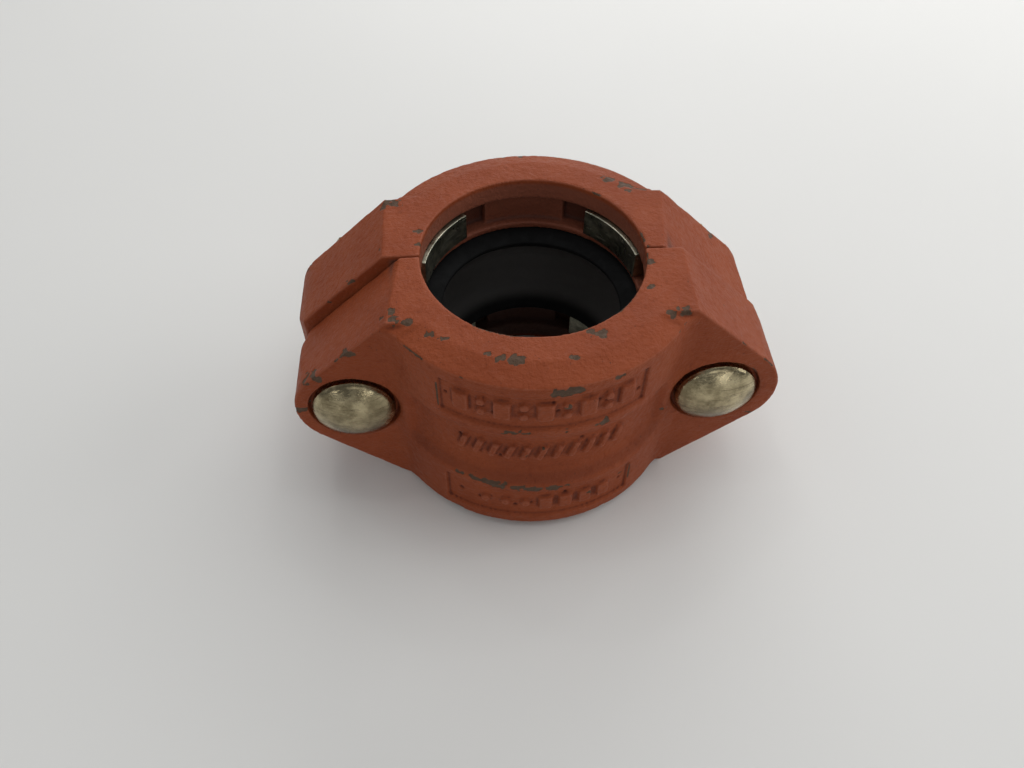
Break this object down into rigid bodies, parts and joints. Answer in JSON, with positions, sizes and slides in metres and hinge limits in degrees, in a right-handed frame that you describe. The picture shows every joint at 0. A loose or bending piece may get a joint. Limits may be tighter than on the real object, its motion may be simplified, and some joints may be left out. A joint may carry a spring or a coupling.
{
  "type": "pipe coupling",
  "caption": "Bolted pipe coupling: two cast housing halves clamp a C-shaped rubber gasket and bent steel grips around the plain ends of two pipes.",
  "frame": {"origin": "middle of the coupling, on the pipe axis", "axes": "+Z along the pipe axis, +X towards the right-hand bolt, -Y towards the bolt heads"},
  "size_m": [0.169, 0.111, 0.084],
  "materials": {
    "housing_paint": "matte",
    "gasket_rubber": "matte",
    "grip_steel": "satin",
    "bolt_zinc": "satin"
  },
  "bodies": {
    "rear_housing": {"rear_housing": "housing_paint"},
    "front_housing": {"front_housing": "housing_paint"},
    "gasket": {"gasket": "gasket_rubber"},
    "grip_rear_upper_left": {"grip_rear_upper_left": "grip_steel"},
    "grip_rear_upper_right": {"grip_rear_upper_right": "grip_steel"},
    "grip_rear_lower_left": {"grip_rear_lower_left": "grip_steel"},
    "grip_rear_lower_right": {"grip_rear_lower_right": "grip_steel"},
    "grip_front_upper_left": {"grip_front_upper_left": "grip_steel"},
    "grip_front_upper_right": {"grip_front_upper_right": "grip_steel"},
    "grip_front_lower_left": {"grip_front_lower_left": "grip_steel"},
    "grip_front_lower_right": {"grip_front_lower_right": "grip_steel"},
    "bolt_left": {"bolt_left": "bolt_zinc"},
    "bolt_right": {"bolt_right": "bolt_zinc"},
    "nut_left": {"nut_left": "bolt_zinc"},
    "nut_right": {"nut_right": "bolt_zinc"}
  },
  "joints": [
    {"name": "front_housing_slide", "type": "slide", "parent": "rear_housing", "child": "front_housing", "axis": [0, -1, 0], "range_m": [0, 0.008]},
    {"name": "gasket_float", "type": "slide", "parent": "rear_housing", "child": "gasket", "axis": [0, -1, 0], "range_m": [0, 0.004]},
    {"name": "bolt_left_slide", "type": "slide", "parent": "rear_housing", "child": "bolt_left", "axis": [0, -1, 0], "range_m": [0, 0.008]},
    {"name": "nut_left_turn", "type": "hinge", "parent": "rear_housing", "child": "nut_left", "pos_m": [-0.0626, 0.0366, 0], "axis": [0, 1, 0], "range_deg": [0, 1248]},
    {"name": "bolt_right_slide", "type": "slide", "parent": "rear_housing", "child": "bolt_right", "axis": [0, -1, 0], "range_m": [0, 0.008]},
    {"name": "nut_right_turn", "type": "hinge", "parent": "rear_housing", "child": "nut_right", "pos_m": [0.0626, 0.0366, 0], "axis": [0, 1, 0], "range_deg": [0, 1248]},
    {"name": "grip_rear_upper_left_shift", "type": "hinge", "parent": "rear_housing", "child": "grip_rear_upper_left", "pos_m": [0, 0, 0.028], "axis": [0, 0, 1], "range_deg": [-14, 7]},
    {"name": "grip_rear_upper_right_shift", "type": "hinge", "parent": "rear_housing", "child": "grip_rear_upper_right", "pos_m": [0, 0, 0.028], "axis": [0, 0, 1], "range_deg": [-7, 14]},
    {"name": "grip_rear_lower_left_shift", "type": "hinge", "parent": "rear_housing", "child": "grip_rear_lower_left", "pos_m": [0, 0, -0.028], "axis": [0, 0, 1], "range_deg": [-10.5, 10.5]},
    {"name": "grip_rear_lower_right_shift", "type": "hinge", "parent": "rear_housing", "child": "grip_rear_lower_right", "pos_m": [0, 0, -0.028], "axis": [0, 0, 1], "range_deg": [-10.5, 10.5]},
    {"name": "grip_front_upper_left_shift", "type": "hinge", "parent": "front_housing", "child": "grip_front_upper_left", "pos_m": [0, 0, 0.028], "axis": [0, 0, 1], "range_deg": [-20.5, 0.5]},
    {"name": "grip_front_upper_right_shift", "type": "hinge", "parent": "front_housing", "child": "grip_front_upper_right", "pos_m": [0, 0, 0.028], "axis": [0, 0, 1], "range_deg": [-0.5, 20.5]},
    {"name": "grip_front_lower_left_shift", "type": "hinge", "parent": "front_housing", "child": "grip_front_lower_left", "pos_m": [0, 0, -0.028], "axis": [0, 0, 1], "range_deg": [-10.5, 10.5]},
    {"name": "grip_front_lower_right_shift", "type": "hinge", "parent": "front_housing", "child": "grip_front_lower_right", "pos_m": [0, 0, -0.028], "axis": [0, 0, 1], "range_deg": [-10.5, 10.5]}
  ],
  "couplings": [
    {"joint": "gasket_float", "follows": "front_housing_slide", "ratio": 0.5},
    {"joint": "bolt_left_slide", "follows": "front_housing_slide", "ratio": 1},
    {"joint": "nut_left_turn", "follows": "front_housing_slide", "rad_per_m": 2721.1},
    {"joint": "bolt_right_slide", "follows": "front_housing_slide", "ratio": 1},
    {"joint": "nut_right_turn", "follows": "front_housing_slide", "rad_per_m": 2721.1}
  ]
}
